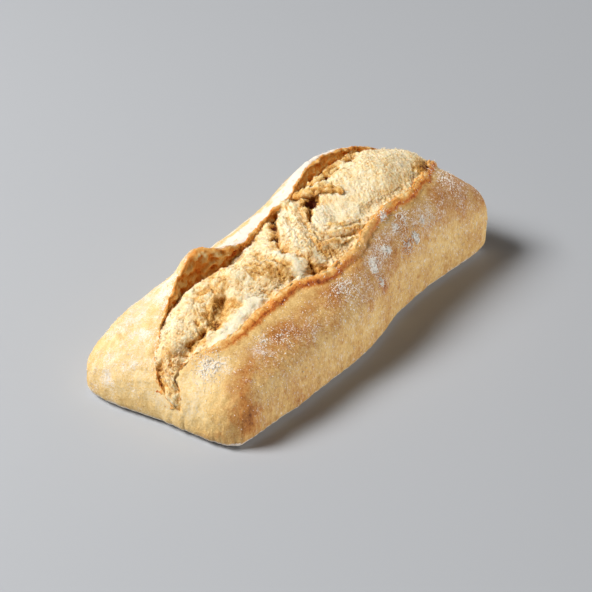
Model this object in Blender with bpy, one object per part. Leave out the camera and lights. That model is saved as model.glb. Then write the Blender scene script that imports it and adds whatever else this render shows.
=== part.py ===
"""A ciabatta loaf, modelled as one closed solid at its real size.

The loaf lies along X on its flat base. It is a pillow of dough with square, rounded
corners, a slight waist and a taller far end. Its top has burst open from one end to
the other: a lip of crust runs along each side of the burst, the left one (+Y) stands
up in two flaps, and the crumb fills the burst as a mound with a ditch behind each lip.

The skin is one sheet over two angles, theta along the loaf and phi across it, so that
s = sin(theta) and t = sin(phi) run from -1 to 1. The rows of the sheet follow the two
lips. A rounded underside joins the sheet's rim to the base.
"""
import bpy
import numpy as np

MM = 0.001

# Outline of the loaf, in metres, with stations given as s along its length
LENGTH = 232.4 * MM
HALF_WIDTHS = [(-1, 46.0), (-0.9, 46.5), (-0.6, 48.6), (-0.2, 47.9), (0.25, 42.7), (0.65, 44.9), (1, 46.2)]  # s, mm
MIDDLE_LINE = [(-1, 5.7), (-0.9, 5.8), (-0.5, 4.6), (0, 0.9), (0.5, 3.7), (1, 0.5)]  # s, mm
CROWN_HEIGHTS = [(-1, 50.7), (-0.5, 44.1), (0, 54.6), (0.5, 65.2), (1, 64.4)]  # s, mm
RIM_HEIGHTS = [(-1, 5.6), (-0.65, 7.4), (1, 8.6)]  # s, mm
CORNER_PULL = 0.046         # share of each half side by which a corner draws in
CORNER_POWER = 4.1          # how close to the corner that pull stays
CORNER_ROUND = 0.015        # a further pull at the very corner, which rounds it
CORNER_ROUND_POWER = 14     # how close to the corner the rounding stays
NEAR_END_POWER = 0.85       # roundness of the long near slope
FAR_END_POWER = 0.54        # roundness of the steep far end
SIDE_POWER = 0.54           # roundness of the flanks
HIP_POWER = 1.63            # how sharply a flank turns into an end
UNDER_INSET = 7.5 * MM      # from the rim in to the flat base
NEAR_EDGE = [(-1, 4.0), (-0.85, 2.0), (-0.5, 2.9), (0, 2.7), (0.5, 0.4), (1, -1.5)]  # t, mm it moves in
NEAR_EDGE_REACH = 4         # how close to the near end that move stays

# The burst, as (x, value) stations in millimetres
RIGHT_LIP = [(-116, -12), (-114.6, -8.4), (-113, -7.2), (-111.6, -5.2), (-110.2, -3), (-108.4, -0.8), (-106, -1),
             (-102, -2.3), (-97, -5), (-89, -10.5), (-76, -14), (-60, -13.7), (-45, -15.2), (-36, -17.6), (-30, -21.2),
             (-24, -24.8), (-13, -28.2), (0, -28.2), (15, -25.6), (32, -24.2), (50, -25.3), (65, -24.5), (78, -21.3),
             (90, -17), (101, -12.5), (110, -9), (116, -8)]
LEFT_LIP = [(-116, -10.5), (-115.5, -6.5), (-114.5, -2), (-113.5, 2), (-112.5, 5.5), (-110.5, 8.8), (-107.3, 11),
            (-102, 14.3), (-89, 22), (-76, 27), (-60, 32.3), (-48, 30.5), (-41, 25.8), (-34, 21.6), (-24, 20.6),
            (-13, 22), (-2, 22.2), (8, 20.8), (16, 20.6), (26, 23.2), (38, 24.8), (52, 24.5), (66, 23), (78, 19),
            (90, 12.5), (100, 5), (110, 1), (116, 1)]
RIGHT_LIFT = [(-116, 0), (-104, 0.6), (-80, 1.2), (-20, 1.4), (40, 1.2), (80, 1.2), (100, 2.6),
              (110, 0.3), (116, 0)]
LEFT_LIFT = [(-116, 0), (-95, 1), (-74, 2.9), (-60, 7.7), (-48, 14.1), (-36, 6.5), (-24, 1.8),
             (0, 1.2), (22, 1.6), (42, 3.6), (62, 3.4), (80, 2.8), (92, 0.8), (106, 0), (116, 0)]
RIGHT_DITCH = [(-116, 0), (-104, 1.2), (-60, 2), (-20, 2.5), (30, 2), (80, 1.6), (106, 0), (116, 0)]
LEFT_DITCH = [(-116, 0), (-95, 1.5), (-70, 3.4), (-50, 4.8), (-30, 3.2), (-10, 1.2), (12, 1.8),
              (30, 4.5), (45, 6.5), (70, 5.5), (88, 2.5), (106, 0), (116, 0)]
CRUMB_RISE = [(-116, 0), (-100, 1), (-60, 3), (-20, 2), (8, 0.5), (30, 0), (60, 1.8), (90, 2.8),
              (106, 2), (116, 0)]
FLAP_WIDTH = 8 * MM         # how far down its flank a flap starts to rise
LIP_WIDTH = 5 * MM          # the same for the low right lip
LIP_WALL = 2.4 * MM         # width of the steep wall inside a lip
DITCH_WIDTH = 3.6 * MM      # half width of the ditch behind a lip
DITCH_PLACE = 5 * MM        # from a lip in to the deepest line of its ditch

# Fineness of the mesh
COLUMNS = 92                # steps along the loaf
RIGHT_ROWS = 12             # steps from the right rim up to the right lip
BURST_ROWS = 16             # steps from lip to lip
LEFT_ROWS = 10              # steps from the left lip down to the left rim
UNDER_RINGS = 3             # steps from the rim round to the base

CRUST_COLOUR = (0.72, 0.47, 0.20, 1)
CRUST_ROUGHNESS = 0.72


def smooth(stations, where):
    """Smooth curve through (place, value) stations: cubic pieces with matching slopes.

    The slope at a station is the mean of the slopes beside it, and 0 at a high or low point.
    """
    place, value = np.array(stations, dtype=float).T
    step = np.diff(value) / np.diff(place)
    slope = np.zeros(len(place))
    slope[1:-1] = np.where(step[:-1] * step[1:] > 0, (step[:-1] + step[1:]) / 2, 0)
    where = np.clip(where, place[0], place[-1])
    left = np.clip(np.searchsorted(place, where, side="right") - 1, 0, len(place) - 2)
    gap = place[left + 1] - place[left]
    u = (where - place[left]) / gap
    rise = value[left + 1] - value[left]
    start, end = slope[left] * gap, slope[left + 1] * gap
    return value[left] + u * start + u**2 * (3 * rise - 2 * start - end) + u**3 * (start + end - 2 * rise)


def plan(s, t):
    """Place of the point (s, t) seen from above: a long box whose corners draw in.

    The near end isn't square: NEAR_EDGE moves it, times ((1 - s) / 2) to a high power.
    """
    corner = 1 - CORNER_ROUND * np.abs(s * t)**CORNER_ROUND_POWER
    x = LENGTH / 2 * s * corner * (1 - CORNER_PULL * np.abs(t)**CORNER_POWER)
    x = x + MM * smooth(NEAR_EDGE, t) * ((1 - s) / 2)**NEAR_EDGE_REACH
    half_width = MM * smooth(HALF_WIDTHS, s)
    y = half_width * t * corner * (1 - CORNER_PULL * np.abs(s)**CORNER_POWER) + MM * smooth(MIDDLE_LINE, s)
    return x, y


def pillow_height(theta, phi):
    """Height of the unburst loaf: a rounded slope from the end and one from the flank, merged.

    Each slope is a power of a cosine, and the two merge as 1 / (a^-n + b^-n - 1)^(1/n),
    which is 1 on the crown and 0 at the rim.
    """
    tiny = 1e-6
    end_power = np.where(theta < 0, NEAR_END_POWER, FAR_END_POWER)
    end = np.maximum(np.cos(theta), tiny)**end_power
    flank = np.maximum(np.cos(phi), tiny)**SIDE_POWER
    dome = (end**-HIP_POWER + flank**-HIP_POWER - 1)**(-1 / HIP_POWER)
    s = np.sin(theta)
    rim = MM * smooth(RIM_HEIGHTS, s)
    return rim + (MM * smooth(CROWN_HEIGHTS, s) - rim) * dome


def hump(distance, width):
    """A rounded hump, 1 where the distance is 0 and nearly 0 two widths away."""
    return np.exp(-(distance / width)**2)


def burst_relief(x, y):
    """Height that the burst adds to the pillow: lips, the ditches inside them and the mound."""
    along = x / MM
    right = MM * smooth(RIGHT_LIP, along)
    left = MM * smooth(LEFT_LIP, along)
    in_right, in_left = y - right, left - y
    inside = (in_right > 0) & (in_left > 0)
    wall_right = hump(in_right, np.where(in_right > 0, LIP_WALL, LIP_WIDTH))
    wall_left = hump(in_left, np.where(in_left > 0, LIP_WALL, FLAP_WIDTH))
    lips = smooth(RIGHT_LIFT, along) * wall_right + smooth(LEFT_LIFT, along) * wall_left
    ditches = (smooth(RIGHT_DITCH, along) * hump(in_right - DITCH_PLACE, DITCH_WIDTH)
               + smooth(LEFT_DITCH, along) * hump(in_left - DITCH_PLACE, DITCH_WIDTH))
    across = np.clip(in_right / (left - right), 0, 1)
    mound = smooth(CRUMB_RISE, along) * np.sin(np.pi * across)
    return MM * (lips + np.where(inside, mound - ditches, 0))


def sheet_angles():
    """Theta and phi of each point of the top sheet, with rows that follow the two lips."""
    theta = np.linspace(-np.pi / 2, np.pi / 2, COLUMNS + 1)
    s = np.sin(theta)
    along = LENGTH / 2 * s / MM
    half_width, middle = smooth(HALF_WIDTHS, s), smooth(MIDDLE_LINE, s)
    right = np.arcsin((smooth(RIGHT_LIP, along) - middle) / half_width)[:, None]
    left = np.arcsin((smooth(LEFT_LIP, along) - middle) / half_width)[:, None]
    rim = np.pi / 2
    up = np.linspace(0, 1, RIGHT_ROWS + 1)[:-1]
    across = (1 - np.cos(np.linspace(0, np.pi, BURST_ROWS + 1))) / 2
    down = np.linspace(0, 1, LEFT_ROWS + 1)[1:]
    phi = np.hstack([-rim + (right + rim) * up, right + (left - right) * across, left + (rim - left) * down])
    return np.broadcast_to(theta[:, None], phi.shape), phi


def loaf_points():
    """Points of the skin: the top sheet, the rings of the underside, and the base's middle.

    A ring steps in from the rim and down by a quarter of an ellipse. All points then shift
    level, so that the loaf's box is centred on the origin.
    """
    theta, phi = sheet_angles()
    s, t = np.sin(theta), np.sin(phi)
    x, y = plan(s, t)
    top = np.stack([x, y, pillow_height(theta, phi) + burst_relief(x, y)], axis=-1)
    edge = rim_loop(np.arange(top.size // 3).reshape(top.shape[:2]))
    rim_s, rim_t = s.ravel()[edge], t.ravel()[edge]
    half_width = MM * smooth(HALF_WIDTHS, rim_s)
    rings = []
    for turn in np.linspace(0, np.pi / 2, UNDER_RINGS + 1)[1:]:
        inset = UNDER_INSET * (1 - np.cos(turn))
        ring_x, ring_y = plan(rim_s * (1 - 2 * inset / LENGTH), rim_t * (1 - inset / half_width))
        height = MM * smooth(RIM_HEIGHTS, rim_s) * (1 - np.sin(turn))
        rings.append(np.stack([ring_x, ring_y, height], axis=-1))
    rings[-1][:, 2] = 0
    base_middle = np.zeros((1, 3))
    points = np.vstack([top.reshape(-1, 3)] + rings + [base_middle])
    points[:, :2] -= (points[:, :2].max(axis=0) + points[:, :2].min(axis=0)) / 2
    return points, top.shape[:2]


def rim_loop(index):
    """Indices along the rim of a grid, counterclockwise seen from above."""
    return np.concatenate([index[:-1, 0], index[-1, :-1], index[:0:-1, -1], index[0, :0:-1]])


def loaf_faces(shape):
    """Faces of the skin: quads on the sheet and the rings, and a fan over the flat base."""
    index = np.arange(shape[0] * shape[1]).reshape(shape)
    quads = np.stack([index[:-1, :-1], index[1:, :-1], index[1:, 1:], index[:-1, 1:]], axis=-1)
    faces = quads.reshape(-1, 4).tolist()
    outer = rim_loop(index)
    count = len(outer)
    for ring in range(UNDER_RINGS):
        inner = index.size + ring * count + np.arange(count)
        band = np.stack([inner, np.roll(inner, -1), np.roll(outer, -1), outer], axis=-1)
        faces += band.tolist()
        outer = inner
    middle = np.full(count, index.size + UNDER_RINGS * count)
    faces += np.stack([np.roll(outer, -1), outer, middle], axis=-1).tolist()
    return faces


def crust_material():
    """Golden, slightly rough baked crust."""
    material = bpy.data.materials.new("crust")
    material.use_nodes = True
    shader = material.node_tree.nodes["Principled BSDF"]
    shader.inputs["Base Color"].default_value = CRUST_COLOUR
    shader.inputs["Roughness"].default_value = CRUST_ROUGHNESS
    shader.inputs["Metallic"].default_value = 0
    return material


def make_loaf():
    """The whole loaf as one object."""
    points, shape = loaf_points()
    mesh = bpy.data.meshes.new("loaf")
    mesh.from_pydata(points.tolist(), [], loaf_faces(shape))
    mesh.materials.append(crust_material())
    mesh.shade_smooth()
    loaf = bpy.data.objects.new("loaf", mesh)
    bpy.context.scene.collection.objects.link(loaf)
    return loaf


for old in list(bpy.data.objects):
    bpy.data.objects.remove(old)
make_loaf()
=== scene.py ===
# %% [markdown]
# # A ciabatta with a burst top
# A ciabatta is a flat pillow of very wet dough. It is cut, floured and baked, and while it
# bakes the top tears open along its length. The skin turns into a golden crust, the torn
# edges stand up as thin browned lips, and the soft crumb swells up between them.
#
# We build it from four pieces: the crust with its lips, the torn crumb in the burst, strands
# and shreds of crumb, and the flour that still lies on the crust. Their points are worked out
# with numpy, because a loaf has no straight edges that a box or a cylinder could start from.

import bpy
import numpy as np
from mathutils import Matrix, Vector


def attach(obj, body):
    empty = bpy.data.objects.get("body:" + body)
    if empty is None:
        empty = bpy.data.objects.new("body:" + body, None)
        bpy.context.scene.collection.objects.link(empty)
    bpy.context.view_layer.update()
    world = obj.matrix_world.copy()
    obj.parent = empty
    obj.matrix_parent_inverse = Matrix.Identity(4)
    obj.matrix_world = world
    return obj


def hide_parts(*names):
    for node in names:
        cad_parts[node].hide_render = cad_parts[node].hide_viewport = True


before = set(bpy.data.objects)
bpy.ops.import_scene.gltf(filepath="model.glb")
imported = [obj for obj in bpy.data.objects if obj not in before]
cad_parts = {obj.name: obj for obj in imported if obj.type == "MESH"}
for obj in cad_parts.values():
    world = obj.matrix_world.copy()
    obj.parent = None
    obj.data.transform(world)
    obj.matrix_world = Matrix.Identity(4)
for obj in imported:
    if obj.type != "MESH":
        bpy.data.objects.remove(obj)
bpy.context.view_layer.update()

MM = 0.001


def xyz(x, y, z):
    """Points from their coordinates, which may be arrays or plain numbers."""
    return np.stack(np.broadcast_arrays(x, y, z), axis=-1)


# %% [markdown]
# ## Curves through a few stations
# The loaf's width, height and lips change slowly along its length. A short list of stations,
# each a place and a value, says that best. The curve between them is cubic and never swings
# past a station, so a lip stays where it was put.

# %% Smooth curves and soft steps
def smooth(stations, where):
    """Cubic pieces through (place, value) stations, with matching slopes where they join.

    The slope at a station is the mean of the slopes beside it, and 0 at a high or low point.
    """
    place, value = np.array(stations, dtype=float).T
    step = np.diff(value) / np.diff(place)
    slope = np.zeros(len(place))
    slope[1:-1] = np.where(step[:-1] * step[1:] > 0, (step[:-1] + step[1:]) / 2, 0)
    where = np.clip(where, place[0], place[-1])
    left = np.clip(np.searchsorted(place, where, side="right") - 1, 0, len(place) - 2)
    gap = place[left + 1] - place[left]
    u = (where - place[left]) / gap
    rise = value[left + 1] - value[left]
    start, end = slope[left] * gap, slope[left + 1] * gap
    squared, cubed = 3 * rise - 2 * start - end, start + end - 2 * rise
    return value[left] + u * start + u**2 * squared + u**3 * cubed


def ease(value, low, high):
    """A soft step: 0 below low, 1 above high, and 3u^2 - 2u^3 between them."""
    u = np.clip((value - low) / (high - low), 0, 1)
    return u * u * (3 - 2 * u)


def hump(distance, width):
    """A rounded hump: 1 at distance 0, and nearly 0 two widths away."""
    return np.exp(-(distance / width)**2)


# %% [markdown]
# ## Repeatable unevenness
# Dough is uneven at every size, from broad dents to pores. Gradient noise gives that: each
# corner of a lattice gets a random slope, and the slopes are blended in between. An integer
# hash picks the slopes, so the same loaf comes out every time.

# %% Noise on whole arrays
# The 12 slopes point at the middles of a cube's edges.
SLOPES = np.array([np.insert([a, b], gap, 0)
                   for gap in (2, 1, 0) for b in (1, -1) for a in (1, -1)], dtype=float)
WORD = 0xFFFFFFFF
SEED_GAP, NOISE_GAIN = 7.31, 1.5


def scramble(i, j, k, seed):
    """A repeatable whole number for each lattice corner: products of large odd numbers, mixed."""
    h = (i * 374761393 + j * 668265263 + k * 1442695041 + seed * 974634777) & WORD
    h = ((h ^ (h >> 13)) * 1274126177) & WORD
    return (h ^ (h >> 16)) & WORD


def noise(points, size, seed=0):
    """Gradient noise, about -1 to 1, with bumps about `size` mm across; size may be (x, y, z).

    At each of the 8 corners round a point, the corner's slope times the way to the point is
    taken, and the 8 values are blended with u^3 (6u^2 - 15u + 10).
    """
    scaled = points / (np.asarray(size, dtype=float) * MM) + seed * SEED_GAP
    cell = np.floor(scaled).astype(np.int64)
    part = scaled - cell
    blend = part**3 * (part * (part * 6 - 15) + 10)
    total = np.zeros(points.shape[:-1])
    for corner in np.ndindex(2, 2, 2):
        at = cell + corner
        slope = SLOPES[scramble(at[..., 0], at[..., 1], at[..., 2], seed) % 12]
        weight = np.prod(np.where(corner, blend, 1 - blend), axis=-1)
        total += weight * np.sum(slope * (part - corner), axis=-1)
    return total * NOISE_GAIN


def layered(points, size, layers, seed=0, keep=0.5):
    """Noise on noise: each layer is half the size of the one before, and `keep` as strong."""
    size = np.asarray(size, dtype=float)
    return sum(keep**layer * noise(points, size / 2**layer, seed + layer) for layer in range(layers))


def creases(points, size, seed=0):
    """Thin ridges, 1 on a ridge and falling to 0 beside it: 1 - |noise|, squared twice."""
    return (1 - np.minimum(np.abs(noise(points, size, seed)) * 1.4, 1))**4


# %% [markdown]
# ## The pillow under everything
# Seen from above, the loaf is a long box with pulled-in corners and a slight waist. Seen from
# the side, it slopes up from a thin near end to a tall, steep far end. Both come from two
# angles: theta runs along the loaf and phi across it, from -90 to 90 degrees. Where their
# cosines reach 0 the skin has come down to the rim, just above the table.

# %% The pillow's sizes, as in the frame
LENGTH = 232.4 * MM
# s or t is a place along or across the loaf, from -1 to 1; the values are in mm.
HALF_WIDTHS = [(-1, 46.0), (-0.9, 46.5), (-0.6, 48.6), (-0.2, 47.9), (0.25, 42.7), (0.65, 44.9), (1, 46.2)]
MIDDLE_LINE = [(-1, 5.7), (-0.9, 5.8), (-0.5, 4.6), (0, 0.9), (0.5, 3.7), (1, 0.5)]
CROWN_HEIGHTS = [(-1, 50.7), (-0.5, 44.1), (0, 54.6), (0.5, 65.2), (1, 64.4)]
RIM_HEIGHTS = [(-1, 5.6), (-0.65, 7.4), (1, 8.6)]
NEAR_EDGE = [(-1, 4.0), (-0.85, 2.0), (-0.5, 2.9), (0, 2.7), (0.5, 0.4), (1, -1.5)]
NEAR_EDGE_REACH = 4
CORNER_PULL, CORNER_POWER = 0.046, 4.1
CORNER_ROUND, CORNER_ROUND_POWER = 0.015, 14
NEAR_END_POWER, FAR_END_POWER, SIDE_POWER, HIP_POWER = 0.85, 0.54, 0.54, 1.63
UNDER_INSET = 7.5 * MM
QUARTER = np.pi / 2


def plan(s, t):
    """Place seen from above of (s, t) = (sin theta, sin phi): a long box whose corners draw in.

    The near end isn't square: NEAR_EDGE moves it, times ((1 - s) / 2) to a high power.
    """
    corner = 1 - CORNER_ROUND * np.abs(s * t)**CORNER_ROUND_POWER
    x = LENGTH / 2 * s * corner * (1 - CORNER_PULL * np.abs(t)**CORNER_POWER)
    x = x + MM * smooth(NEAR_EDGE, t) * ((1 - s) / 2)**NEAR_EDGE_REACH
    half_width = MM * smooth(HALF_WIDTHS, s)
    y = half_width * t * corner * (1 - CORNER_PULL * np.abs(s)**CORNER_POWER)
    return x, y + MM * smooth(MIDDLE_LINE, s)


def pillow_height(theta, phi):
    """Height of the unburst loaf: powers of the two cosines, merged as (a^-n + b^-n - 1)^(-1/n)."""
    tiny = 1e-6
    end_power = np.where(theta < 0, NEAR_END_POWER, FAR_END_POWER)
    end = np.maximum(np.cos(theta), tiny)**end_power
    flank = np.maximum(np.cos(phi), tiny)**SIDE_POWER
    dome = (end**-HIP_POWER + flank**-HIP_POWER - 1)**(-1 / HIP_POWER)
    s = np.sin(theta)
    rim = MM * smooth(RIM_HEIGHTS, s)
    return rim + (MM * smooth(CROWN_HEIGHTS, s) - rim) * dome

def pillow(theta, phi):
    """Points of the unburst loaf."""
    return xyz(*plan(np.sin(theta), np.sin(phi)), pillow_height(theta, phi))


EDGE_SAMPLES, CROWN_SAMPLES, FLANK_SAMPLES = 721, 2001, 600
edge_run, edge_end = np.sin(np.linspace(-QUARTER, QUARTER, EDGE_SAMPLES)), np.ones(EDGE_SAMPLES)
edge_x = plan(edge_end, edge_run)[0].max(), plan(-edge_end, edge_run)[0].min()
edge_y = plan(edge_run, edge_end)[1].max(), plan(edge_run, -edge_end)[1].min()
SHIFT = np.array([sum(edge_x) / 2, sum(edge_y) / 2, 0])
print("the pillow moves by", np.round(SHIFT / MM, 2), "mm to sit in the middle of its box")

# %% [markdown]
# ## Where the top tore open
# Two lines say where the burst is: the right lip and the left lip, as seen from above. Two
# more say how far each lip stands up from the pillow. The left one rises twice, into the two
# flaps that curl away from the crumb. The last lists say how deep the crumb lies beside each
# lip, and how far it swells in the middle.

# %% The lines of the burst
RIGHT_LIP = [(-116, -12), (-114.6, -8.4), (-113, -7.2), (-111.6, -5.2), (-110.2, -3), (-108.4, -0.8),
             (-106, -1), (-102, -2.3), (-97, -5), (-89, -10.5), (-76, -14), (-60, -13.7), (-45, -15.2),
             (-36, -17.6), (-30, -21.2), (-24, -24.8), (-13, -28.2), (0, -28.2), (15, -25.6), (32, -24.2),
             (50, -25.3), (65, -24.5), (78, -21.3), (90, -17), (101, -12.5), (110, -9), (116, -8)]
LEFT_LIP = [(-116, -10.5), (-115.5, -6.5), (-114.5, -2), (-113.5, 2), (-112.5, 5.5), (-110.5, 8.8),
            (-107.3, 11), (-102, 14.3), (-89, 22), (-76, 27), (-60, 32.3), (-48, 30.5), (-41, 25.8),
            (-34, 21.6), (-24, 20.6), (-13, 22), (-2, 22.2), (8, 20.8), (16, 20.6), (26, 23.2), (38, 24.8),
            (52, 24.5), (66, 23), (78, 19), (90, 12.5), (100, 5), (110, 1), (116, 1)]
RIGHT_LIFT = [(-116, 0), (-104, 0.6), (-80, 1.2), (-20, 1.4), (40, 1.2), (80, 1.2), (100, 2.6),
              (110, 0.3), (116, 0)]
LEFT_LIFT = [(-116, 0), (-95, 1), (-74, 2.9), (-60, 7.7), (-48, 14.1), (-36, 6.5), (-24, 1.8),
             (0, 1.2), (22, 1.6), (42, 3.6), (62, 3.4), (80, 2.8), (92, 0.8), (106, 0), (116, 0)]
RIGHT_DITCH = [(-116, 0), (-104, 1.0), (-60, 1.2), (-20, 1.8), (30, 1.4), (80, 1.2), (106, 0), (116, 0)]
LEFT_DITCH = [(-116, 0), (-95, 1.5), (-70, 3.4), (-50, 4.8), (-30, 3.2), (-10, 1.2), (12, 1.8),
              (30, 4.5), (45, 6.5), (70, 5.5), (88, 2.5), (106, 0), (116, 0)]
CRUMB_RISE = [(-116, 0), (-100, 1), (-60, 3), (-20, 2), (8, 0.5), (30, 0), (60, 1.8), (90, 2.8),
              (106, 2), (116, 0)]
FLAP_WIDTH, LIP_WIDTH = 8 * MM, 5 * MM
FALL_SHARE = 0.6     # how much a drop in height counts as distance from a lip
DITCH_WIDTH, DITCH_PLACE = 3.6 * MM, 5 * MM


def even_steps(points, count):
    """Fractions 0 to 1 that cut a line of points into `count` steps of equal length."""
    run = np.concatenate([[0], np.cumsum(np.linalg.norm(np.diff(points, axis=0), axis=1))])
    return np.interp(np.linspace(0, run[-1], count + 1), run, np.linspace(0, 1, len(points)))


def lip_angles(theta, lip):
    """Phi of a lip at each theta, from its distance to the middle line."""
    s = np.sin(theta)
    along = LENGTH / 2 * s / MM
    return np.arcsin((smooth(lip, along) - smooth(MIDDLE_LINE, s)) / smooth(HALF_WIDTHS, s))


CROWN_PHI = 0.15
fine = np.linspace(-QUARTER, QUARTER, CROWN_SAMPLES)
crown_line = np.stack([LENGTH / 2 * np.sin(fine), pillow_height(fine, fine * 0 + CROWN_PHI)], axis=1)
crown_length = np.linalg.norm(np.diff(crown_line, axis=0), axis=1).sum()
print("over the crown it measures", round(crown_length / MM), "mm")

# %% [markdown]
# ## The crust
# The crust is the skin of the loaf, 2 to 3 mm thick where it has torn. A sculptor would shape
# it by hand. We can carry a profile along the loaf instead: each cross-section climbs from
# the right rim to the right lip, turns over the lip's torn edge, goes down inside, crosses
# under the crumb, climbs the left wall, turns over the left lip and comes down to the left
# rim. Every cross-section has the same number of points, so the whole skin is one grid.

# %% Angles of the crust's grid
CRUST_COLUMNS, FLANK_ROWS = 412, 80
theta_line = -QUARTER + 2 * QUARTER * even_steps(crown_line, CRUST_COLUMNS)
column_x = LENGTH / 2 * np.sin(theta_line)
right_phi, left_phi = lip_angles(theta_line, RIGHT_LIP), lip_angles(theta_line, LEFT_LIP)


def flank_angles(lip_phi, side):
    """Angles from the rim up to a lip, in steps that are even in the middle cross-section."""
    angles = np.linspace(side * QUARTER, lip_phi.mean(), FLANK_SAMPLES)
    share = even_steps(pillow(angles * 0, angles)[:, 1:], FLANK_ROWS)
    return side * QUARTER + (lip_phi[:, None] - side * QUARTER) * share


def lip_wave(seed, reach, size=9):
    """Unevenness of a torn edge along the loaf, up to about `reach`, in bumps of `size` mm."""
    return reach * layered(xyz(column_x, 0, 0), size, 4, seed, keep=0.7)


def flank(phi, lift, width, wave_y, wave_z):
    """Points of a flank from rim to lip: the pillow, raised and waved near the lip."""
    x, y, z = np.moveaxis(pillow(theta_line[:, None], phi), -1, 0)
    near = hump(np.hypot(y - y[:, -1:], (z - z[:, -1:]) * FALL_SHARE), width)
    raised = MM * smooth(lift, column_x / MM) + wave_z * burst_fade
    return xyz(x, y + (wave_y * burst_fade)[:, None] * near, z + raised[:, None] * near)


# %% Lips and walls
# burst_fade is 1 along the burst and falls to 0 where it closes, near each end of the loaf:
# where the skin gets low, and between two places at the far end.
CLOSED_HEIGHT, OPEN_HEIGHT = 10.5 * MM, 18 * MM
FAR_OPEN, FAR_CLOSED = 102 * MM, 112 * MM
NARROW_BURST = 16 * MM
lip_height = np.minimum(pillow_height(theta_line, right_phi), pillow_height(theta_line, left_phi))
burst_fade = ease(lip_height, CLOSED_HEIGHT, OPEN_HEIGHT) * ease(-column_x, -FAR_CLOSED, -FAR_OPEN)
fade = burst_fade[:, None]
gap = MM * (smooth(LEFT_LIP, column_x / MM) - smooth(RIGHT_LIP, column_x / MM))
room = np.minimum(1, gap / NARROW_BURST)
# inward from the crest, up from the crest, mm
RIGHT_EDGE = [(0.25, 0.25), (0.55, 0.35), (0.9, 0.3), (1.2, 0.0), (1.35, -0.6), (1.5, -1.5), (1.8, -2.8),
              (2.6, -4.8), (3.6, -8)]
LEFT_EDGE = [(0.3, 0.3), (0.8, 0.42), (1.3, 0.3), (1.7, -0.15), (1.9, -0.8)]
WALL_ROWS, FLOOR_ROWS = 28, 6
WALL_FOOT = 5                        # mm that the wall goes on below the crumb
WALL_LEAN, WALL_HOLLOW = 0.22, 0.12  # as shares of the wall's height


def edge_rows(crest, profile, side, seed):
    """Rows that turn over a torn edge: the crest plus (inward, up) offsets, faded at the ends."""
    thickness = (1 + lip_wave(seed, 0.5, 12)) * (0.35 + 0.65 * ease(column_x, -110 * MM, -90 * MM))
    shrink = burst_fade * room * thickness
    rows = [crest + xyz(0, side * inward * MM * shrink, up * MM * burst_fade) for inward, up in profile]
    return np.stack(rows, axis=1)


def left_wall(edge):
    """The inner face of the left lip: it drops past the crumb and leans in a little, hollowed."""
    drop = smooth(LEFT_LIFT, column_x / MM) + smooth(LEFT_DITCH, column_x / MM) + WALL_FOOT
    drop = MM * drop[:, None] * fade
    share = np.linspace(0, 1, WALL_ROWS + 1)[1:]
    inward = drop * (WALL_LEAN * share - WALL_HOLLOW * np.sin(np.pi * share)) * room[:, None]
    return xyz(edge[:, 0:1], edge[:, 1:2] - inward, edge[:, 2:3] - drop * share)


# %% Put the crust's cross-sections together
right_angles, left_angles = flank_angles(right_phi, -1), flank_angles(left_phi, 1)
right = flank(right_angles, RIGHT_LIFT, LIP_WIDTH, lip_wave(11, 0.7 * MM) + lip_wave(18, 0.3 * MM, 2.6),
              lip_wave(12, 0.35 * MM) + lip_wave(19, 0.28 * MM, 2.4))
left = flank(left_angles, LEFT_LIFT, FLAP_WIDTH, lip_wave(13, 0.8 * MM), lip_wave(14, 0.5 * MM))
right_crest, left_crest = right[:, -1:], left[:, -1:]
right_edge = edge_rows(right[:, -1], RIGHT_EDGE, 1, 15)
left_edge = edge_rows(left[:, -1], LEFT_EDGE, -1, 16)
wall = left_wall(left_edge[:, -1])
across = np.linspace(0, 1, FLOOR_ROWS + 1)[1:-1, None]
floor_rows = right_edge[:, -1:] * (1 - across) + wall[:, -1:] * across
opened_rows = np.concatenate([right_edge, floor_rows, wall[:, ::-1], left_edge[:, ::-1]], axis=1)


def closed_rows(count):
    """Angles and points of unbroken skin from lip to lip: the pillow, shifted to meet both crests."""
    share = np.linspace(0, 1, count + 2)
    phi = right_phi[:, None] * (1 - share) + left_phi[:, None] * share
    points = pillow(theta_line[:, None], phi)
    share = share[:, None]
    points = points + (right_crest - points[:, :1]) * (1 - share) + (left_crest - points[:, -1:]) * share
    return phi[:, 1:-1], points[:, 1:-1]


closed_phi, closed = closed_rows(opened_rows.shape[1])
middle_rows = closed + (opened_rows - closed) * fade[..., None]
crust_grid = np.concatenate([right, middle_rows, left[:, ::-1]], axis=1)
crust_phi = np.concatenate([right_angles, closed_phi, left_angles[:, ::-1]], axis=1)
print("the crust's grid is", crust_grid.shape[:2])


def grid_cross(grid):
    """The cross product of a grid's steps along and across: up, and as long as a cell is large."""
    return np.cross(np.gradient(grid, axis=0), np.gradient(grid, axis=1))


def grid_normals(grid):
    """Unit normals of a grid."""
    normal = grid_cross(grid)
    return normal / np.maximum(np.linalg.norm(normal, axis=-1, keepdims=True), 1e-12)


def block_masks(blocks):
    """For each block of rows, which of all the crust's rows are its own."""
    owner = np.repeat(np.arange(len(blocks)), [block.shape[1] for block in blocks])
    return [owner[None, :] == number for number in range(len(blocks))]


RIGHT, RIGHT_LIP_EDGE, _, WALL, LEFT_LIP_EDGE, LEFT = block_masks(
    [right, right_edge, floor_rows, wall, left_edge, left])

# %% [markdown]
# ## Dents, wrinkles and blisters
# Proofed dough lies soft in its floured cloth, so its skin has broad dents and, down its
# flanks, fine upright wrinkles. In the oven small blisters lift. These are real shape, so
# they move the points along the skin's normal. Pores finer than the grid are left to the
# material.

# %% Uneven skin
# centre mm, radius mm, rise mm
SWELLINGS = [((-106, -43, 10), 8, 1.5), ((-102, -42, 16), 5, 0.9), ((-96, -45, 10), 9, 0.8)]


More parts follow.
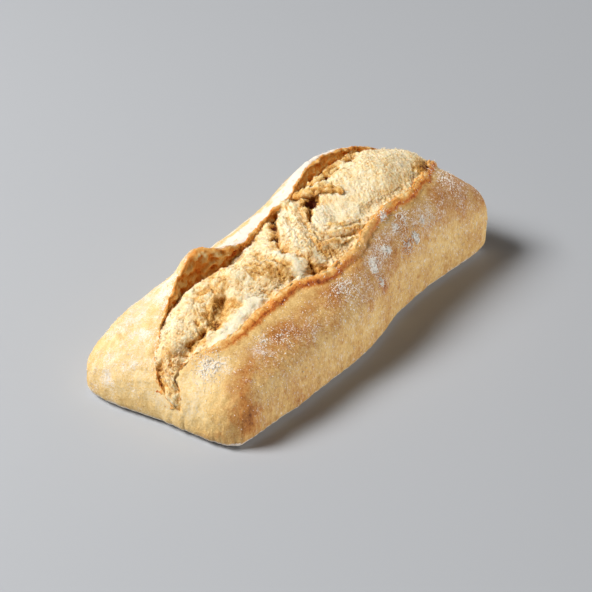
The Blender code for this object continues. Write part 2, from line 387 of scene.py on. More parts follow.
def patches(points, spots):
    """Soft round patches, added up: each has a centre (mm), a radius (mm) and a strength there."""
    total = np.zeros(points.shape[:-1])
    for centre, radius, strength in spots:
        away = (points - MM * np.array(centre)) / (MM * radius)
        total += strength * np.exp(-np.sum(away**2, axis=-1))
    return total


crust_normal = grid_normals(crust_grid)
broad = layered(crust_grid, 34, 2, 21)
dents = layered(crust_grid, 11, 3, 22)
upright = layered(crust_grid, (2.6, 2.6, 14), 2, 23) * ease(-crust_grid[..., 2], -52 * MM, -16 * MM)
blisters = np.maximum(noise(crust_grid, 4.2, 24) - 0.2, 0)
blisters = blisters + 0.6 * np.maximum(noise(crust_grid, 2.4, 27) - 0.3, 0)
swellings = patches(crust_grid, SWELLINGS)
skin_rise = MM * (0.6 * broad + 0.26 * dents + 0.36 * upright + 0.34 * blisters + swellings)
skin = RIGHT | LEFT
torn = WALL | LEFT_LIP_EDGE | RIGHT_LIP_EDGE
opened = ~skin * fade
ledges = layered(crust_grid, (8, 8, 3), 2, 30)
tears = layered(crust_grid, 4, 3, 25, keep=0.65) + 0.8 * creases(crust_grid, 3.5, 26)
torn_rise = MM * (0.35 + 0.85 * WALL) * (tears + 0.7 * WALL * ledges - 0.45)

# %% The welt along the right lip
from_lip = np.linalg.norm((crust_grid - right_crest)[..., 1:], axis=-1)
welt_size = (0.9 + lip_wave(17, 0.6, 14))[:, None] * fade * ease(column_x, -100 * MM, -70 * MM)[:, None]
welt_profile = 0.6 * hump(from_lip - 1.6 * MM, 1.6 * MM) - 0.5 * hump(from_lip - 4.6 * MM, 1.4 * MM)
welt = MM * welt_size * welt_profile
ragged = MM * 0.42 * hump(from_lip, 3.2 * MM) * layered(crust_grid, (4.5, 2, 2), 3, 47, keep=0.7) * fade
skin_rise = skin_rise + (welt + ragged) * RIGHT
rise = skin_rise * (1 - opened) + torn_rise * torn * opened
crust_grid = crust_grid + crust_normal * rise[..., None]
print("the skin rises and falls by up to", round(float(np.abs(rise).max()) / MM, 2), "mm")

# %% The underside
UNDER_RINGS = 7


def numbered(grid):
    """The number of each point of a grid."""
    return np.arange(grid.shape[0] * grid.shape[1]).reshape(grid.shape[:2])


def rim_loop(grid):
    """Numbers of the points along the rim of a grid, counterclockwise seen from above."""
    index = numbered(grid)
    return np.concatenate([index[:-1, 0], index[-1, :-1], index[:0:-1, -1], index[0, :0:-1]])


def underside(grid, phi_rows):
    """Rings from the rim round to the flat base: quarter ellipses, on the rim's unevenness."""
    edge = rim_loop(grid)
    theta = np.broadcast_to(theta_line[:, None], grid.shape[:2]).ravel()[edge]
    s, t = np.sin(theta), np.sin(phi_rows.ravel()[edge])
    rim = grid.reshape(-1, 3)[edge]
    half_width = MM * smooth(HALF_WIDTHS, s)
    smooth_x, smooth_y = plan(s, t)
    rings = []
    for turn in np.linspace(0, QUARTER, UNDER_RINGS + 1)[1:]:
        inset = UNDER_INSET * (1 - np.cos(turn))
        x, y = plan(s * (1 - 2 * inset / LENGTH), t * (1 - inset / half_width))
        off_x, off_y = (rim[:, 0] - smooth_x) * np.cos(turn), (rim[:, 1] - smooth_y) * np.cos(turn)
        rings.append(xyz(x + off_x, y + off_y, rim[:, 2] * (1 - np.sin(turn))))
    rings[-1][:, 2] = 0
    return rings


# %% [markdown]
# ## From grids to meshes
# A grid becomes quads, its rim gets rings that close it underneath, and a fan of triangles
# fills the base. Each corner also gets a place on a flat map: the sheet fills most of it,
# and the underside lies in a strip beside it, so no two faces share a spot.

# %% Make meshes
SHEET_SHARE, MAP_GAP = 0.84, 0.02


def new_piece(name, points, quads, triangles, layers):
    """One smooth object from points, quads and triangles, with named point layers."""
    corners = np.concatenate([quads.ravel(), triangles.ravel()])
    starts = np.concatenate([np.arange(len(quads)) * 4, quads.size + np.arange(len(triangles)) * 3])
    mesh = bpy.data.meshes.new(name)
    mesh.vertices.add(len(points))
    mesh.vertices.foreach_set("co", (points - SHIFT).astype(np.float32).ravel())
    mesh.loops.add(len(corners))
    mesh.loops.foreach_set("vertex_index", corners.astype(np.int32))
    mesh.polygons.add(len(starts))
    mesh.polygons.foreach_set("loop_start", starts.astype(np.int32))
    mesh.update(calc_edges=True)
    mesh.shade_smooth()
    for layer, values in layers.items():
        store = mesh.attributes.new(layer, "FLOAT", "POINT")
        store.data.foreach_set("value", values.astype(np.float32))
    piece = bpy.data.objects.new(name, mesh)
    bpy.context.scene.collection.objects.link(piece)
    print(name, "has", len(points), "points and", 2 * len(quads) + len(triangles), "triangles")
    return piece


def closed_piece(name, grid, rings, layers):
    """One closed object: a sheet, its rings and a fan over the last ring, with named layers."""
    index, rim = numbered(grid), rim_loop(grid)
    count, outer = len(rim), rim
    middle = rings[-1].mean(axis=0, keepdims=True)
    points = np.vstack([grid.reshape(-1, 3)] + rings + [middle])
    quads = np.stack([index[:-1, :-1], index[1:, :-1], index[1:, 1:], index[:-1, 1:]], axis=-1)
    quads = quads.reshape(-1, 4)
    bands = []
    for ring in range(len(rings)):
        inner = index.size + ring * count + np.arange(count)
        bands.append(np.stack([inner, np.roll(inner, -1), np.roll(outer, -1), outer], axis=-1))
        outer = inner
    fan = np.stack([np.roll(outer, -1), outer, np.full(count, len(points) - 1)], axis=-1)
    below = len(points) - index.size
    whole = {layer: np.concatenate([values.ravel(), np.resize(values.ravel()[rim], below)])
             for layer, values in layers.items()}
    four = np.vstack([quads] + bands)
    piece = new_piece(name, points, four, fan, whole)
    add_map(piece.data, points, np.concatenate([four.ravel(), fan.ravel()]), quads.size, index.shape)
    return piece


def add_map(mesh, points, corners, sheet_corners, shape):
    """The flat map: grid place for the sheet, place seen from above for the underside."""
    column, row = np.divmod(corners, shape[1])
    on_sheet = np.stack([column / (shape[0] - 1), row / (shape[1] - 1) * SHEET_SHARE], axis=1)
    low, high = points[:, :2].min(axis=0), points[:, :2].max(axis=0)
    seen = (points[corners][:, :2] - low) / (high - low)
    strip = 1 - SHEET_SHARE - MAP_GAP
    under = np.stack([seen[:, 0], SHEET_SHARE + MAP_GAP + strip * seen[:, 1]], axis=1)
    place = np.where((np.arange(len(corners)) < sheet_corners)[:, None], on_sheet, under)
    mesh.uv_layers.new(name="OFBake").data.foreach_set("uv", place.astype(np.float32).ravel())


# %% Patches on the crust
# centre mm, radius mm, strength
BROWNED = [((-106, -42, 15), 7, 0.20), ((-103, -44, 10), 7, 0.16), ((-104, -37, 22), 8, 0.18),
           ((-99, -31, 30), 11, 0.15), ((-84, -28, 37), 12, 0.13), ((-64, -32, 38), 10, 0.08),
           ((-104, -36, 18), 13, 0.13), ((-25, -30, 43), 7, 0.10), ((-68, -44, 14), 10, 0.06),
           ((3, -45, 30), 4, 0.18), ((-62, -28, 40), 8, 0.05), ((17, -34, 50), 8, 0.08),
           ((40, -33, 56), 9, 0.08), ((92, -30, 50), 16, 0.10), ((-70, -44, 30), 12, 0.05),
           ((110, 20, 30), 22, 0.15), ((60, 46, 30), 20, 0.12), ((-40, 46, 28), 16, 0.08)]
# Most pale patches are lighter crust; the one low on the near end, at (-114, 0, 9), is painted light where
# the end curves under and the light falls off.
PALE_AND_PAINTED_LIGHT = [((-97, -13, 32), 8, 0.20), ((-110, -14, 20), 14, 0.17), ((-114, 0, 9), 16, 0.12),
        ((-25, -43, 31), 8, 0.12), ((52, -35, 46), 8, 0.05), ((-60, 40, 36), 20, 0.10),
        ((-106, 30, 26), 24, 0.08), ((-80, 38, 34), 24, 0.06), ((-72, -22, 41), 5, 0.10)]
FLOURED = [((-97, -13, 32), 8, 0.30), ((-104, 32, 26), 20, 0.06), ((-70, 36, 36), 16, 0.14),
           ((-78, -29, 37), 7, 0.20), ((-52, -36, 38), 8, 0.10), ((-12, -41, 38), 14, 0.10),
           ((10, -37, 46), 9, 0.24), ((27, -31, 53), 8, 0.28), ((56, -38, 46), 14, 0.16),
           ((86, -36, 42), 13, 0.10)]
# mm from the right lip, bake; then mm along the loaf, how much of that bake shows
LIP_BAKE = [(0, 0.20), (0.7, 0.36), (1.5, 0.52), (2.4, 0.57), (3.1, 0.80), (3.7, 0.77), (4.8, 0.55),
            (12, 0.44)]
RIGHT_TOAST = [(-116, 0), (-106, 0.1), (-88, 0.5), (-76, 0.9), (-60, 1), (-45, 1), (-22, 1.05), (-10, 0.8),
               (-2, 0.35), (8, 0.18), (16, 0.4), (24, 0.8), (50, 1.05), (75, 1.1), (94, 1), (100, 0.7),
               (106, 0), (116, 0)]

# %% Where the crust is browned, and where light and shade are painted on it
x, y, z = np.moveaxis(crust_grid, -1, 0)
to_left_lip = np.linalg.norm((crust_grid - left_crest)[..., 1:], axis=-1)
to_lip = np.linalg.norm((crust_grid - right_crest)[..., 1:], axis=-1)
to_lip = to_lip + 0.7 * MM * layered(crust_grid, 9, 4, 28, keep=0.6)
lip_toast = smooth(LIP_BAKE, to_lip / MM) + 0.12 * layered(crust_grid, (4, 1.5, 1.5), 2, 46)
near_lip = np.minimum(smooth(RIGHT_TOAST, x / MM), 1) * (1 - ease(to_lip, 3.6 * MM, 9 * MM))
lip_share = np.where(RIGHT, near_lip, 0) * ease(fade, 0, 0.6)
left_band = np.where(LEFT, 0.22 * hump(to_left_lip, 2.2 * MM), 0) * fade
facing = ease(-y, 6 * MM, 26 * MM) * ease(x, -112 * MM, -92 * MM)
upper = ease(z, 22 * MM, 38 * MM) * ease(-y, 20 * MM, 32 * MM)
foot = 0.10 * hump(z - 7.5 * MM, 3.5 * MM) * ease(-x, 98 * MM, 110 * MM)
# This value holds the crust's baked tone, plus painted light low on the near end and painted shade toward the
# wall's foot.
bake_and_painted_light = 0.31 + 0.12 * facing + 0.20 * upper + 0.05 * ease(-z, -24 * MM, -12 * MM)
bake_and_painted_light = bake_and_painted_light + foot + left_band + patches(crust_grid, BROWNED) - patches(crust_grid, PALE_AND_PAINTED_LIGHT)
bake_and_painted_light = bake_and_painted_light + 0.05 * broad + 0.07 * dents + 0.10 * blisters
bake_and_painted_light = bake_and_painted_light * (1 - lip_share) + lip_toast * lip_share
cut_edge = np.where(RIGHT_LIP_EDGE, 0.36, 0.46) + 0.22 * layered(crust_grid, 3, 2, 48)
# Painted shade: the wall gets browner from 5 to 11 mm under the left crest, toward its foot under the flap.
wall_bake_and_shade = (0.30 + 0.22 * layered(crust_grid, 3.6, 3, 29, keep=0.7) - 0.20 * (torn_rise / MM - 0.1)
             + 0.10 * ease(left_crest[..., 2] - z, 5 * MM, 11 * MM))
torn_share = torn * fade
bake_and_painted_light = bake_and_painted_light * (1 - torn_share) + np.where(WALL, wall_bake_and_shade, cut_edge) * torn_share

# %% Where the crust is floured, and the crust itself
flour = 0.03 + 0.10 * facing + 0.24 * ease(-z, -6.5 * MM, -2 * MM) + patches(crust_grid, FLOURED)
cloudy = layered(crust_grid, 9, 3, 49)
outer_strip = (hump(np.maximum(to_left_lip - 2.5 * MM, 0), (8 + 5 * cloudy) * MM)
               * ease(x, -40 * MM, -10 * MM) * ease(-x, -96 * MM, -56 * MM))
behind = 0.16 * ease(y, 0, 30 * MM) * (1 + 1.2 * cloudy)
flour = flour + np.where(RIGHT, 0, 0.8 * outer_strip + behind) - 0.3 * lip_share
flour = flour * (1 - torn_share)
crust_layers = {
    "bake_and_painted_light": bake_and_painted_light, "flour": flour,
    "flank": ease(np.abs(y), 20 * MM, 36 * MM) * ease(x, -110 * MM, -96 * MM),
    "torn": np.maximum(torn_share, 0.9 * lip_share * hump(np.maximum(to_lip - 3.4 * MM, 0), 1.6 * MM))}

crust = closed_piece("crust", crust_grid, underside(crust_grid, crust_phi), crust_layers)
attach(crust, "root")
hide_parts("loaf")

# %% [markdown]
# ## The crumb
# The crumb is what the tear laid bare: soft, torn dough that swelled up through the burst and
# set in folds, strands and pits. It is a mound from lip to lip with a ditch along each lip. A
# short skirt closes it underneath, where no one looks.

# %% The crumb's mound
CRUMB_COLUMNS, CRUMB_ROWS = 560, 158
NEAR_TIP, FAR_TIP = -115.4 * MM, 111 * MM
SINK, FAR_SINK = 0.3, 3.5   # mm under the crust's level, and more where the burst closes
full_theta = -QUARTER + 2 * QUARTER * even_steps(crown_line, 4000)
full_x = LENGTH / 2 * np.sin(full_theta)
inside = full_theta[(full_x > NEAR_TIP) & (full_x < FAR_TIP)]
column_share = np.linspace(0, 1, CRUMB_COLUMNS + 1)
crumb_theta = np.interp(column_share, np.linspace(0, 1, len(inside)), inside)
crumb_x = LENGTH / 2 * np.sin(crumb_theta)
low_phi, high_phi = [lip_angles(crumb_theta, lip)[:, None] for lip in (RIGHT_LIP, LEFT_LIP)]
share = np.linspace(0, 1, CRUMB_ROWS + 1)
crumb_phi = low_phi + (high_phi - low_phi) * share
cx, cy, cz = np.moveaxis(pillow(crumb_theta[:, None], crumb_phi), -1, 0)
in_right, in_left = cy - cy[:, :1], cy[:, -1:] - cy
along = crumb_x[:, None] / MM
ditches = (smooth(RIGHT_DITCH, along) * hump(in_right - DITCH_PLACE, DITCH_WIDTH)
           + smooth(LEFT_DITCH, along) * hump(np.maximum(in_left - DITCH_PLACE, 0), DITCH_WIDTH))
mound = smooth(CRUMB_RISE, along) * np.sin(np.pi * share)
closing = (1 - np.interp(crumb_x, column_x, burst_fade)) * (crumb_x > 0)
cz = cz + MM * (mound - ditches - SINK - FAR_SINK * closing[:, None])
crumb_grid = xyz(cx, cy, cz)

# %% [markdown]
# The tear didn't leave an even surface. Its folds, strands and pits are what the eye reads, so
# each one is a stroke: a line seen from above with a rise, a width and a change of toast, which
# in the hole under a strand, in the slits under the second flap and in a few crevices is
# painted shade. The strokes are added onto the mound. Their lines are bent by noise first,
# because torn dough has ragged edges. Smooth places get less of the fine fuzz.

# %% Strokes on the crumb
# rise mm, width mm, toast (the dark toast of some sunken strokes is painted shade), fuzz, line seen from
# above (x, y) in mm
STROKES = [
    (2.0, 6.5, -0.12, 0.0, [(-106, 5), (-98, 10), (-88, 15), (-78, 18), (-66, 19), (-56, 15), (-50, 8)]),
    (-1.0, 3.4, 0.05, 0.2, [(-98, 2), (-90, 0), (-82, 0), (-75, 0)]),
    (-2.2, 5.0, 0.08, -0.2, [(-73, 0), (-68, 1), (-63, 3)]),
    (0.6, 1.4, 0.26, 0.4, [(-59, 8), (-64, 8.5), (-69, 6), (-74, 2), (-75, -3)]),
    (-1.3, 1.3, 0.18, 0.0, [(-63, 4), (-61, 5)]),
    (-1.2, 1.3, 0.20, 0.0, [(-80, 6), (-81, 5)]),
    (-1.3, 1.5, 0.22, 0.0, [(-85, -1), (-84, 0)]),
    (-1.3, 1.5, 0.22, 0.0, [(-92, 1), (-91, 1)]),
    (-1.2, 1.3, 0.20, 0.0, [(-96, 1), (-97, 1.5)]),
    (-1.2, 1.4, 0.18, 0.0, [(-78, -4), (-77, -3)]),
    (1.3, 3.4, -0.46, -0.95, [(-88, -10), (-80, -10), (-72, -9.5), (-64, -8.5), (-57, -8), (-53, -9)]),
    (0.9, 1.5, -0.15, -0.2, [(-51, -10), (-53, -5), (-56, -1), (-57, 3)]),
    (2.6, 9.0, 0.02, 0.3, [(-45, 5), (-38, -2), (-32, -9)]),
    (0.0, 5.5, 0.22, 0.0, [(-41, 0), (-36, -5), (-33, -9)]),
    (0.0, 3.0, 0.16, 0.2, [(-33, 4), (-29, 0)]),
    (0.8, 2.0, -0.34, -0.7, [(-27, -2), (-25.5, -7), (-26, -12), (-28.5, -16), (-32, -18.5), (-37, -20)]),
    (-0.9, 1.3, 0.10, 0.0, [(-30.5, -5), (-30, -10), (-32, -15), (-36, -17.5)]),
    (-1.6, 1.8, 0.24, 0.0, [(-22, -3), (-21, -9), (-20, -16), (-23, -21)]),
    (-1.4, 1.8, 0.44, 0.0, [(-24, -24), (-17, -24)]),
    (0.9, 3.0, 0.10, 0.5, [(13, 19), (3, 8), (-8, -3), (-16, -14)]),
    (1.0, 4.0, -0.16, 0.7, [(3, 17), (-4, 10), (-10, 2), (-16, -7), (-19, -12)]),
    (0.8, 1.7, 0.22, 0.5, [(16, 13), (5, 3), (-6, -8), (-11, -16)]),
    (-0.5, 1.5, 0.06, 0.3, [(10, 11), (0, 1), (-6, -6), (-13, -16)]),
    (-1.8, 1.5, 0.26, 0.2, [(2, 20), (-6, 14), (-15, 7), (-20, 2)]),
    (-0.4, 1.2, 0.06, 0.3, [(4, 14), (-4, 6), (-12, -3)]),
    (-3.0, 2.0, 0.46, 0.0, [(2, 20), (-1, 18)]),
    (-2.4, 1.8, 0.40, 0.0, [(-7, 14), (-5, 15)]),
    (-2.0, 1.7, 0.34, 0.0, [(-17, 7), (-15, 7)]),
    (2.6, 2.6, 0.05, 0.4, [(9, 20), (10, 17)]),
    (1.8, 4.0, -0.05, 0.3, [(-31, 17), (-25, 15)]),
    (-2.0, 10.0, -0.36, -0.6, [(16, -8), (24, -10)]),
    (0.5, 1.4, 0.34, 0.2, [(6, -11), (8, -13), (11, -15)]),
    (0.5, 1.6, 0.30, 0.2, [(9, -19), (13, -20.5), (18, -22)]),
    (0.0, 2.2, 0.34, 0.2, [(-11, -19), (-8, -21), (-4, -22)]),
    (0.7, 0.9, 0.24, 0.2, [(-9, -15), (-2, -19), (6, -23), (13, -26)]),
    (-0.9, 0.8, 0.10, 0.0, [(-7, -13.5), (1, -17.5), (9, -21.5), (16, -25)]),
    (0.8, 0.9, 0.24, 0.2, [(-4, -11.5), (4, -16), (13, -20.5), (21, -25)]),
    (0.6, 0.8, 0.20, 0.2, [(3, -11), (12, -15.5), (21, -20), (30, -23)]),
    # Painted shadow: the deep hole under the thick strand and the crevice beside it get a darker toast,
    # nearly black-brown in the hole.
    (-4.6, 2.8, 1.10, 0.0, [(14, 6.5), (17, 8)]),
    (-2.0, 1.2, 0.34, 0.0, [(9, 4), (5, 1), (2, -2)]),
    (0.6, 3.0, -0.16, 0.2, [(15, 1), (8, -3), (3, -7)]),
    (2.2, 13.0, 0.0, 0.0, [(54, -3), (80, -5)]),
    # Darker toast at the far end, by the right lip: partly toast, partly painted shade where the crumb faces
    # away from the light.
    (0.8, 5.5, 0.62, 0.0, [(82, -18), (86, -17), (91, -14)]),
    (0.0, 6.0, 0.12, 0.0, [(48, -18), (66, -19), (80, -17)]),
    (0.0, 5.0, 0.12, 0.2, [(-70, 10), (-62, 12)]),
    (0.0, 5.0, 0.02, 0.4, [(-5, 13), (-11, 5), (-18, -3)]),
    (0.0, 8.0, 0.14, 0.0, [(-72, 24), (-56, 24), (-46, 16)]),
    (0.0, 4.0, 0.18, 0.0, [(-108, 2), (-104, 5), (-98, 9)]),
    (0.0, 6.0, 0.14, 0.1, [(-66, 14), (-56, 14)]),
    (0.0, 2.4, 0.30, 0.0, [(-115, -9.5), (-113, -7)]),
    (0.8, 2.4, 0.04, 0.5, [(-111, -5), (-108, 0), (-102, 3)]),
    # Painted shade: a sunken band inside the near left lip, where its wall is in shade, gets a darker
    # golden-brown toast.
    (-2.3, 2.2, 0.44, 0.0, [(-110, 3.5), (-107.5, 6), (-104.5, 8)]),
    # The sunken strokes in the next rows lie under the second flap, and their dark brown toast is painted
    # shade.
    (-2.4, 2.0, 0.55, 0.0, [(33, 12), (37, 11.5)]),
    (-2.2, 1.7, 0.60, 0.0, [(42, 11), (45, 10.5)]),
    (-2.0, 1.7, 0.55, 0.0, [(55, 10.5), (59, 10)]),
    (0.9, 2.2, 0.42, 0.4, [(33, 15), (37, 14.5), (48, 14.5), (60, 14), (72, 15), (80, 16)]),
    (-1.8, 1.8, 0.40, 0.0, [(78, 15), (82, 15)]),
]


def line_distance(px, py, points):
    """Distance from each place to a line of points: to the nearest place on each of its pieces."""
    best = np.full(px.shape, np.inf)
    for (ax, ay), (bx, by) in zip(points[:-1], points[1:]):
        dx, dy = bx - ax, by - ay
        part = np.clip(((px - ax) * dx + (py - ay) * dy) / (dx * dx + dy * dy), 0, 1)
        best = np.minimum(best, np.hypot(px - ax - part * dx, py - ay - part * dy))
    return best


BEND = 0.9   # mm
bent_x, bent_y = [place / MM + BEND * layered(crumb_grid, 5, 3, seed) for place, seed in ((cx, 34), (cy, 35))]
stroke_rise, toast_and_shade, fuzzy = np.zeros(cx.shape), np.zeros(cx.shape), np.ones(cx.shape)
for rise_mm, width, toast_and_shade_change, fuzz, line in STROKES:
    shape = hump(line_distance(bent_x, bent_y, line), width)
    stroke_rise += rise_mm * shape
    toast_and_shade += toast_and_shade_change * shape
    fuzzy += fuzz * shape
fuzzy = np.clip(fuzzy, 0.12, 1.6)
print("the strokes raise the crumb by", round(float(stroke_rise.max()), 1), "mm and sink it by",
      round(float(-stroke_rise.min()), 1), "mm")

# %% Fibres, fuzz and pits
FIBRE_X, FIBRE_Y = -0.58, -0.81   # the way that the fibres run
TIP_ANGLE, NEAR_SHIFT = 0.06, 0.7 * MM
SKIRT_TAPER, SKIRT_DROPS = 0.985, (3 * MM, 5 * MM)
turned = xyz(cx * FIBRE_X + cy * FIBRE_Y, cx * -FIBRE_Y + cy * FIBRE_X, cz)
fibres = layered(turned, (7, 1.2, 7), 3, 31)
fibrous = 0.3 + 0.7 * ease(cx, -26 * MM, -10 * MM)
rough = np.clip(1.2 - fibrous, 0, 1)
lumps = layered(crumb_grid, 12, 2, 32)
torn_ridges = creases(crumb_grid, 3.4, 37) + 0.6 * creases(crumb_grid, 1.8, 38) - 0.35
fuzz_grain = layered(crumb_grid, 1.2, 2, 36, keep=0.8)
knobs = layered(crumb_grid, 5.5, 2, 39)
pits = np.maximum(noise(crumb_grid, 3.6, 33) - 0.26, 0)
fuzz_rise = (0.30 * fuzz_grain + 0.20 * fibres * fibrous + 0.20 * torn_ridges * rough + 0.55 * knobs * rough
             - 0.8 * pits * np.clip(1.1 - fibrous, 0, 1))
crumb_rise = MM * (1.3 * stroke_rise + 0.8 * lumps + fuzzy * fuzz_rise)
tips = ease(crumb_theta, crumb_theta[0], crumb_theta[0] + TIP_ANGLE)
crumb_grid = crumb_grid + grid_normals(crumb_grid) * (crumb_rise * tips[:, None])[..., None]
crumb_grid[..., 0] += NEAR_SHIFT * ease(-cx, 104 * MM, 112 * MM)


def skirt(grid, drops):
    """Rings under a sheet's edge: each one lower, and drawn in at both ends of the loaf."""
    edge = grid.reshape(-1, 3)[rim_loop(grid)]
    return [edge * [SKIRT_TAPER, 1, 1] - [0, 0, drop] for drop in drops]


# Painted shade: the crumb's hollows get more, and more golden, toast.
hollow_shade = ease(-(stroke_rise + 0.8 * lumps + 0.9 * knobs * rough), 0.1, 1.5)
fine_toast = (-0.08 * fuzz_grain - 0.10 * fibres * fibrous - 0.08 * torn_ridges - 0.16 * knobs * rough
              + 0.2 * pits * rough)
# The crumb is also browner toward the far end, partly toast and partly painted shade where it faces away from
# the light.
toast_and_shade = (0.31 - 0.05 * ease(cx, -16 * MM, 16 * MM) + 0.2 * ease(cx, 94 * MM, 108 * MM) + toast_and_shade
         + 0.26 * hollow_shade + 0.05 * lumps + fuzzy * fine_toast)
toast_and_shade = np.clip(toast_and_shade, 0, 1.2)
crumb = closed_piece("crumb", crumb_grid, skirt(crumb_grid, SKIRT_DROPS), {"toast_and_shade": toast_and_shade})
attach(crumb, "root")
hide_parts("loaf")

# %% [markdown]
# ## Strands and shreds
# Where the crumb tore, strands of it still reach from the left lip across the burst, and small
# shreds stand on its surface. A strand is a tube along a path. All the shreds are worked out
# at once as one array: shred, place along it, place round it. They share the crumb's slot and
# are one piece.

# %% Tubes along many paths
def tubes(paths, radii, sides, flat):
    """Closed tubes: rings of `sides` points round each path, square to it, and a point at each end.

    Paths are (tube, place, 3) and radii (tube, place). A ring point is path + radius * (cos *
    across + flat * sin * up), where `across` is square to the path and level.
    """
    ahead = np.gradient(paths, axis=1)
    ahead /= np.linalg.norm(ahead, axis=-1, keepdims=True)
    across = np.cross(ahead, [0.0, 0.0, 1.0])
    across /= np.maximum(np.linalg.norm(across, axis=-1, keepdims=True), 1e-9)
    up = np.cross(across, ahead)
    turn = np.linspace(0, 2 * np.pi, sides, endpoint=False)[:, None]
    ring = np.cos(turn) * across[:, :, None] + flat * np.sin(turn) * up[:, :, None]
    rings = paths[:, :, None] + radii[:, :, None, None] * ring
    count, places = paths.shape[:2]
    points = np.concatenate([rings.reshape(count, -1, 3), paths[:, :1], paths[:, -1:]], axis=1)
    index = np.arange(places * sides).reshape(places, sides)
    after = np.roll(index, -1, axis=1)
    quads = np.stack([index[:-1], index[1:], after[1:], after[:-1]], axis=-1).reshape(-1, 4)
    first, last = places * sides, places * sides + 1
    start_fan = np.stack([np.full(sides, first), index[0], after[0]], axis=-1)
    end_fan = np.stack([np.full(sides, last), after[-1], index[-1]], axis=-1)
    step = (np.arange(count) * points.shape[1])[:, None, None]
    fans = np.vstack([start_fan, end_fan])
    return points.reshape(-1, 3), (quads + step).reshape(-1, 4), (fans + step).reshape(-1, 3)


# %% Strands
# path of (x, y, z) in mm from the left lip on, greatest radius mm, toast
STRANDS = [
    ([(18, 21, 54), (19, 15, 57), (22, 10, 59.4), (25.5, 6, 60.4), (28, 2, 60.6), (29, -2.5, 59.6)],
     2.7, 0.62),
    ([(30, 21, 55), (34, 16, 57.8), (40, 12.5, 59.6), (47, 11.5, 60)], 2.0, 0.56),
    ([(24, 19, 55), (27, 13, 58.6), (30, 8, 60.4), (32, 5, 60.8)], 1.7, 0.46),
]


def path_through(points, count):
    """A curve of `count` places through some points: the smooth() curve of each coordinate."""
    points = np.array(points, dtype=float)
    run = np.concatenate([[0], np.cumsum(np.linalg.norm(np.diff(points, axis=0), axis=1))])
    where = np.linspace(0, run[-1], count)
    return MM * np.stack([smooth(np.stack([run, points[:, k]], axis=1), where) for k in range(3)], axis=1)


STRAND_PLACES, STRAND_SIDES, FLAT = 60, 26, 0.7
strand_paths = np.stack([path_through(points, STRAND_PLACES) for points, _, _ in STRANDS])
strand_paths += MM * 0.7 * np.stack([layered(strand_paths, 5, 2, 41 + k) for k in range(3)], axis=-1)
taper = np.sin(np.pi * np.linspace(0.02, 0.98, STRAND_PLACES))**0.4
strand_size = MM * np.array([radius for _, radius, _ in STRANDS])[:, None]
strand_radii = strand_size * taper * (1 + 0.3 * layered(strand_paths, 4, 2, 44))
strand_points, strand_quads, strand_fans = tubes(strand_paths, strand_radii, STRAND_SIDES, FLAT)
strand_toast = np.repeat([t for _, _, t in STRANDS], STRAND_PLACES * STRAND_SIDES + 2)
bumps = layered(strand_points, 3.2, 4, 45, keep=0.65)
strand_points = strand_points + MM * 0.8 * bumps[:, None] * np.array([0.5, 0.5, 1.0])
strand_toast = strand_toast - 0.22 * bumps

# %% Shreds
rng = np.random.default_rng(7)
SHREDS, SHRED_PLACES, SHRED_SIDES = 3300, 6, 4
chance = (fuzzy * ease(crumb_grid[..., 2], 20 * MM, 26 * MM)
          * (1 + ease(-np.abs(cx + 4 * MM), -26 * MM, -14 * MM))).ravel()
at = rng.choice(chance.size, SHREDS, p=chance / chance.sum())
root = crumb_grid.reshape(-1, 3)[at]
normal = grid_normals(crumb_grid).reshape(-1, 3)[at]
heading = (np.arctan2(FIBRE_Y, FIBRE_X) + rng.normal(0, 0.7, SHREDS)
           + np.where(root[:, 0] < -30 * MM, rng.uniform(-1.5, 1.5, SHREDS), 0))
level = xyz(np.cos(heading), np.sin(heading), 0)
level -= normal * np.sum(level * normal, axis=1, keepdims=True)
level /= np.linalg.norm(level, axis=1, keepdims=True)
reach = MM * rng.uniform(0.8, 2.8, SHREDS)
lift = MM * rng.uniform(0.1, 0.6, SHREDS)
t = np.linspace(-1, 1, SHRED_PLACES)
arch = 1 - 1.3 * t**2
shred_paths = (root[:, None] + level[:, None] * (reach[:, None] * t / 2)[..., None]
               + normal[:, None] * (lift[:, None] * arch)[..., None])
shred_paths += MM * 0.25 * np.stack([noise(shred_paths, 2, 51 + k) for k in range(3)], axis=-1)
shred_radii = MM * rng.uniform(0.08, 0.22, SHREDS)[:, None] * (1 - 0.75 * t**2)
shred_points, shred_quads, shred_fans = tubes(shred_paths, shred_radii, SHRED_SIDES, FLAT)
shred_toast = np.clip(toast_and_shade.ravel()[at] + rng.normal(0, 0.08, SHREDS), 0, 1)
shred_toast = np.repeat(shred_toast, SHRED_PLACES * SHRED_SIDES + 2)

offset = len(strand_points)
strands = new_piece("strands", np.vstack([strand_points, shred_points]),
                    np.vstack([strand_quads, shred_quads + offset]),
                    np.vstack([strand_fans, shred_fans + offset]),
                    {"toast_and_shade": np.concatenate([strand_toast, shred_toast])})
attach(strands, "root")
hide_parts("loaf")

# %% [markdown]
# ## Flour
# A floured cloth leaves lumps of flour on the skin, mostly where the dough was damp. Each lump
# is a small uneven solid with 20 faces, pressed onto the crust. They gather in clumps along
# the upper right flank and thin out between them.

